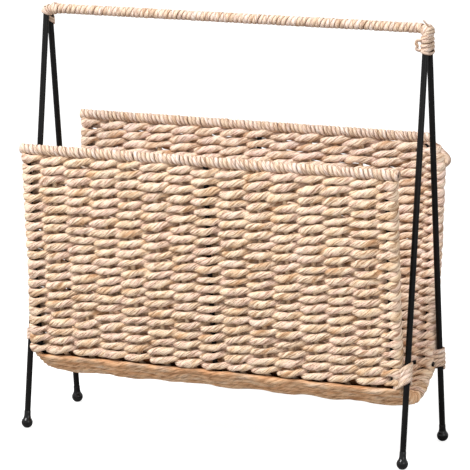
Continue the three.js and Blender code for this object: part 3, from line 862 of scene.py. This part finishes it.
def winding(rng, span, y, z, radius, pitch, thick, hand, swell=0.0):
    """Two cords side by side, wound closely round a rod along X. swell thickens their start."""
    pairs = round((span[1] - span[0]) / (2 * pitch))
    step = (span[1] - span[0]) / pairs
    cords = []
    for first in (-0.5, 0.0):
        turn = np.arange((pairs + 1) * WOUND_STEPS + 1) / WOUND_STEPS
        angle = hand * 2 * math.pi * turn
        radial = np.column_stack([0 * angle, np.cos(angle), np.sin(angle)])
        along = np.clip(span[0] + step * (turn + first), span[0] + step / 4, span[1] - step / 4)
        along += UNEVEN_PITCH * ripple(rng, turn, PITCH_RUN)
        out = radius + thick / 2 + UNEVEN_LIFT * ripple(rng, turn, LIFT_RUN)
        out += swell * np.exp(-(along - span[0]) / END_SWELL_RUN)
        axis = np.column_stack([along, np.full_like(along, y), np.full_like(along, z)])
        wide = step / 2 * (1 + UNEVEN_WIDTH * ripple(rng, turn, WIDTH_RUN))
        cords.append(cord(rng, axis + radial * out[:, None], X_AXIS, wide, thick, lay=WOUND_LAY,
                          relief=WOUND_RELIEF, sides=WOUND_SIDES))
    return cords


def smooth_route(corners):
    """A smooth line through given points."""
    corners = np.array(corners, float)
    padded = np.vstack([2 * corners[0] - corners[1], corners, 2 * corners[-1] - corners[-2]])
    route = []
    for before, a, b, after in zip(padded, padded[1:], padded[2:], padded[3:]):
        share = np.arange(0, 1, ROUTE_STEP / max(np.linalg.norm(b - a), ROUTE_STEP))[:, None]
        route.append(0.5 * (2 * a + (b - before) * share
                            + (2 * before - 5 * a + 4 * b - after) * share ** 2
                            + (3 * a - before - 3 * b + after) * share ** 3))
    return np.vstack(route + [corners[-1:]])


wound_rng = np.random.default_rng(31)
for face in FACES:
    low, high, _ = box_mm(f"{FACE_NAME[face]}_rim_wrap")
    start, _, radius = rim_rods[face]
    span = (low[0] - RIM_PAST, high[0] + (RIM_PAST if face < 0 else 0))
    wound = winding(wound_rng, span, *start[1:], radius, RIM_PITCH, RIM_THICK, hand=1)
    if face > 0:
        wound.append(cord(wound_rng, smooth_route(CORNER_KNUCKLE), X_AXIS + Z_AXIS,
                          KNUCKLE_WIDE, KNUCKLE_THICK, lay=KNUCKLE_LAY))
    cord_piece(f"{FACE_NAME[face]}_rim_winding", wound, wound_fibre, "cord_wrap",
               f"{FACE_NAME[face]}_rim_wrap")

handle_start, _, handle_radius = rod_axis("handle_rod")
handle_y, handle_z = handle_start[1:]
handle_end = box_mm("handle_wrap")[1][0] + HANDLE_PAST
handle_cords = winding(wound_rng, (-handle_end, handle_end), handle_y, handle_z + HANDLE_LIFT,
                       handle_radius, HANDLE_PITCH, HANDLE_THICK, hand=-1, swell=END_SWELL)
cord_piece("handle_winding", handle_cords, wound_fibre, "cord_wrap", "handle_wrap")


# Lashings round one or two upright rods

LASHING_STEPS = 28
BELT_POINTS = 96
UNEVEN_CLIMB, CLIMB_RUN = 0.3, 0.5       # the run in turns


def belt(circles, reach):
    """Even points round a belt that hugs circles (x, y, radius), from its +X side on."""
    angles = np.linspace(0, 2 * math.pi, 4 * BELT_POINTS, endpoint=False)
    facing = np.column_stack([np.cos(angles), np.sin(angles)])
    hugged = np.array([np.array([x, y]) + facing * (radius + reach) for x, y, radius in circles])
    furthest = np.argmax((hugged * facing).sum(-1), axis=0)
    outline = hugged[furthest, np.arange(len(angles))]
    outline = np.vstack([outline, outline[:1]])
    length = np.concatenate([[0], np.cumsum(np.linalg.norm(np.diff(outline, axis=0), axis=1))])
    even = np.linspace(0, length[-1], BELT_POINTS + 1)
    return np.column_stack([np.interp(even, length, outline[:, i]) for i in (0, 1)])


def leg_circle(side, face):
    bottom, top, radius = legs[(side, face)]

    def at(height):
        share = (height - bottom[2]) / (top[2] - bottom[2])
        return (bottom[0], bottom[1] + (top[1] - bottom[1]) * share, radius)
    return at


def hoop_circle(side, face):
    def at(height):
        point, _ = trough.at(trough.place_of(face, height))
        return (side * hoop_x, point[0], HOOP_RADIUS)
    return at


def lashing(rng, rods, lowest, rise, turns, wide, thick, tilt=0.0, hand=1):
    """A cord that climbs round upright rods. tilt is its extra rise for each millimetre of x."""
    turn = np.arange(round(turns * LASHING_STEPS) + 1) / LASHING_STEPS
    middle = np.mean([rod(lowest)[0] for rod in rods])
    route = []
    for share in turn:
        height = lowest + rise * share
        outline = belt([rod(max(height, lower_z)) for rod in rods], thick / 2)
        place = (hand * share) % 1 * (len(outline) - 1)
        x, y = (np.interp(place, np.arange(len(outline)), outline[:, i]) for i in (0, 1))
        route.append((x, y, height + tilt * (x - middle)))
    route = np.array(route)
    route[:, 2] += UNEVEN_CLIMB * ripple(rng, turn, CLIMB_RUN)
    return cord(rng, route, Z_AXIS, wide, thick, lay=WOUND_LAY, relief=WOUND_RELIEF,
                sides=WOUND_SIDES)


# Fans of cord at the top corners, whose turns swing from round the handle to round the legs' tops
FAN_THICK = 2.2
FAN_CORNER = (4.6, 5.4)          # of the fan's inner corner, in from the legs, down from the handle
FAN_BULGE = 3.0                  # how much longer a turn is halfway through the swing
FAN_HALF_WIDTH = (4.0, 7.4)      # round the handle, and round both legs
FAN_WIDENED = math.radians(40)   # swing at which a turn has its full width
FAN_SQUARENESS = (0.75, 0.8)     # of a turn's ends and of its sides, 1 as round


def squared(values, power):
    return np.sign(values) * np.abs(values) ** power


def corner_fan(rng, side, turns, first, last, reach, wide):
    """A fan from angle to angle. wide is its cord's width at the inner corner and outside."""
    turn = np.arange(round(turns * LASHING_STEPS) + 1) / LASHING_STEPS
    swing = np.radians(first) + np.radians(last - first) * turn / turns
    around = 2 * math.pi * turn
    length = reach + FAN_BULGE * np.sin(2 * np.clip(swing, 0, math.pi / 2))
    narrow, broad = FAN_HALF_WIDTH
    half_width = narrow + (broad - narrow) * np.clip(swing / FAN_WIDENED, 0, 1)
    outer = (1 - squared(np.cos(around), FAN_SQUARENESS[0])) / 2
    away = FAN_THICK / 2 + (length - FAN_THICK) * outer
    across = half_width * squared(np.sin(around), FAN_SQUARENESS[1])
    inner_x = legs[(side, -1)][0][0] - side * FAN_CORNER[0]
    route = np.column_stack([inner_x + side * np.sin(swing) * away, -across,
                             handle_z - FAN_CORNER[1] + np.cos(swing) * away])
    facing = np.column_stack([side * np.cos(swing), 0 * swing, -np.sin(swing)])
    return cord(rng, route, facing, wide[0] + (wide[1] - wide[0]) * outer, FAN_THICK,
                lay=WOUND_LAY, relief=WOUND_RELIEF, sides=WOUND_SIDES)


# Small loop and tail of cord at the right top corner, as listed points
CORNER_KNOT = [(199.5, -8.6, 400.2), (196.6, -9.2, 400.0), (194.0, -9.2, 401.6), (195.0, -9.2, 404),
               (193.8, -9.2, 406.4), (194.8, -8.8, 409.2), (199.5, -8, 409.4)]
STRAY_END = [(205.5, -3.5, 420.5), (203.2, -5, 424.4), (201, -5.6, 427), (199.8, -6, 428.8)]
LOOSE_LAY = 14

lash_rng = np.random.default_rng(41)
right_legs = [leg_circle(1, -1), leg_circle(1, 1)]
corner_low = box_mm("right_corner_wrap")[0][2]
corner_cords = [
    lashing(lash_rng, right_legs, lowest=corner_low + 5.6, rise=3.9, turns=4.0, wide=3.9,
            thick=2.2),
    lashing(lash_rng, right_legs, lowest=corner_low + 5.4, rise=1.0, turns=1.0, wide=3.0,
            thick=2.4, tilt=-0.3, hand=-1),
    corner_fan(lash_rng, 1, turns=6.0, first=-4, last=92, reach=9.6, wide=(2.4, 3.9)),
    cord(lash_rng, smooth_route(CORNER_KNOT), Y_AXIS, wide=3.4, thick=3.0, lay=LOOSE_LAY,
         sides=WOUND_SIDES),
    cord(lash_rng, smooth_route(STRAY_END), Y_AXIS, wide=2.2, thick=1.6, lay=LOOSE_LAY,
         sides=WOUND_SIDES),
]
cord_piece("right_corner_lashing", corner_cords, wound_fibre, "cord_wrap", "right_corner_wrap")

left_rear_leg = [leg_circle(-1, 1)]
hitch_low = box_mm("left_corner_wrap")[0][2]
hitch_cords = [
    corner_fan(lash_rng, -1, turns=4.5, first=-10, last=62, reach=8.8, wide=(2.4, 4.2)),
    lashing(lash_rng, left_rear_leg, lowest=hitch_low + 12.0, rise=2.6, turns=2.3, wide=3.0,
            thick=1.8, tilt=-1.1),
]
cord_piece("left_corner_hitch", hitch_cords, wound_fibre, "cord_wrap", "left_corner_wrap")

# Height of the lowest turn, rise of each turn, turns, width, thickness and tilt, by side and face
BINDING_TURNS = {
    (1, -1): (78.0, 4.6, 4.6, 5.4, 2.4, 0.55), (1, 1): (76.5, 4.4, 4.3, 5.2, 2.6, 0.15),
    (-1, -1): (90.0, 3.4, 3.4, 3.8, 1.5, 0.0), (-1, 1): (86.0, 3.6, 4.0, 4.0, 2.0, 0.3),
}
for (side, face), sizes in BINDING_TURNS.items():
    node = f"{SIDE_NAME[side]}_{FACE_NAME[face]}_binding"
    bound = lashing(lash_rng, [leg_circle(side, face), hoop_circle(side, face)], *sizes)
    cord_piece(f"{node}_cord", [bound], wound_fibre, "cord_wrap", node)


# Floor, lights and camera

CAMERA_AZIMUTH = math.radians(23.2)
CAMERA_ELEVATION = math.radians(11.2)
CAMERA_TARGET = (2.0, 0.0, 203.8)
CAMERA_DISTANCE = 3123.0
CAMERA_LENS = 241.3              # mm, on Blender's 36 mm sensor
CAMERA_REACH = 100               # metres, like the floor's sizes and the lights' sizes and places
FLOOR_SIZE = 40
FLOOR_PATCH = FLOOR_SIZE / 3
FLOOR_SHIFT = 1.5                # which part of its pattern lies under the basket
FLOOR_GREYS = (0.35, 0.37)
FLOOR_GLOW = 0.84                # that only the camera sees
ROOM_LIGHT, ROOM_SEEN = 0.73, 1.0
LIGHT_TARGET = (0, 0, 0.2)
LIGHT_SIZE = 1.6


def camera():
    back = Vector((math.sin(CAMERA_AZIMUTH) * math.cos(CAMERA_ELEVATION),
                   -math.cos(CAMERA_AZIMUTH) * math.cos(CAMERA_ELEVATION),
                   math.sin(CAMERA_ELEVATION)))
    made = bpy.data.objects.new("camera", bpy.data.cameras.new("camera"))
    made.data.lens = CAMERA_LENS
    made.data.clip_end = CAMERA_REACH
    made.location = (Vector(CAMERA_TARGET) + CAMERA_DISTANCE * back) * MM
    made.rotation_euler = (-back).to_track_quat("-Z", "Y").to_euler()
    bpy.context.scene.collection.objects.link(made)
    bpy.context.scene.camera = made


def softbox(name, location, power):
    light = bpy.data.objects.new(name, bpy.data.lights.new(name, "AREA"))
    light.data.shape = "DISK"
    light.data.size = LIGHT_SIZE
    light.data.energy = power
    light.location = location
    facing = Vector(LIGHT_TARGET) - Vector(location)
    light.rotation_euler = facing.to_track_quat("-Z", "Y").to_euler()
    bpy.context.scene.collection.objects.link(light)


def floor():
    """A painted studio floor, which reads white to the camera and keeps the basket's shadow."""
    bpy.ops.object.select_all(action="DESELECT")
    bpy.ops.mesh.primitive_plane_add(size=FLOOR_SIZE)
    made = bpy.context.object
    made.name = "studio_floor"
    material, tree = new_material("painted_studio_floor")
    path = add(tree, "ShaderNodeLightPath")
    place = add(tree, "ShaderNodeTexCoord").outputs["Object"]
    shifted = add(tree, "ShaderNodeVectorMath",
                  {0: place, 1: (1 / FLOOR_PATCH,) * 3, 2: (FLOOR_SHIFT,) * 3},
                  operation="MULTIPLY_ADD").outputs[0]
    grain = add(tree, "ShaderNodeTexNoise", {"Vector": shifted, "Scale": 1.0, "Detail": 2})
    tint = add(tree, "ShaderNodeValToRGB", {"Fac": grain.outputs["Fac"]},
               [(0.3, grey(FLOOR_GREYS[0])), (0.7, grey(FLOOR_GREYS[1]))])
    paint = add(tree, "ShaderNodeBsdfDiffuse", {"Color": tint.outputs["Color"]})
    seen = add(tree, "ShaderNodeMath", {0: path.outputs["Is Camera Ray"], 1: FLOOR_GLOW},
               operation="MULTIPLY")
    glow = add(tree, "ShaderNodeEmission", {"Color": grey(1), "Strength": seen.outputs[0]})
    both = add(tree, "ShaderNodeAddShader", {0: paint.outputs[0], 1: glow.outputs[0]})
    add(tree, "ShaderNodeOutputMaterial", {"Surface": both.outputs[0]})
    made.data.materials.append(material)
    made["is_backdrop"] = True


def white_surroundings():
    """White to the camera, in reflections and through glass, and a softer light on the basket."""
    world = bpy.context.scene.world or bpy.data.worlds.new("studio")
    bpy.context.scene.world = world
    world.use_nodes = True
    tree = world.node_tree
    tree.nodes.clear()
    path = add(tree, "ShaderNodeLightPath")
    seen = add(tree, "ShaderNodeMath",
               {0: path.outputs["Is Camera Ray"], 1: path.outputs["Is Glossy Ray"]},
               operation="ADD")
    seen = add(tree, "ShaderNodeMath",
               {0: seen.outputs[0], 1: path.outputs["Is Transmission Ray"]},
               operation="ADD", use_clamp=True)
    level = add(tree, "ShaderNodeMapRange",
                {"Value": seen.outputs[0], "To Min": ROOM_LIGHT, "To Max": ROOM_SEEN})
    background = add(tree, "ShaderNodeBackground",
                     {"Color": grey(1), "Strength": level.outputs[0]})
    add(tree, "ShaderNodeOutputWorld", {"Surface": background.outputs[0]})


camera()
floor()
white_surroundings()
softbox("key", (-1.15, -1.7, 2.8), power=132)
softbox("fill", (2.2, -1.6, 1.2), power=14)
bpy.context.scene.view_settings.view_transform = "Standard"

low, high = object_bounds()
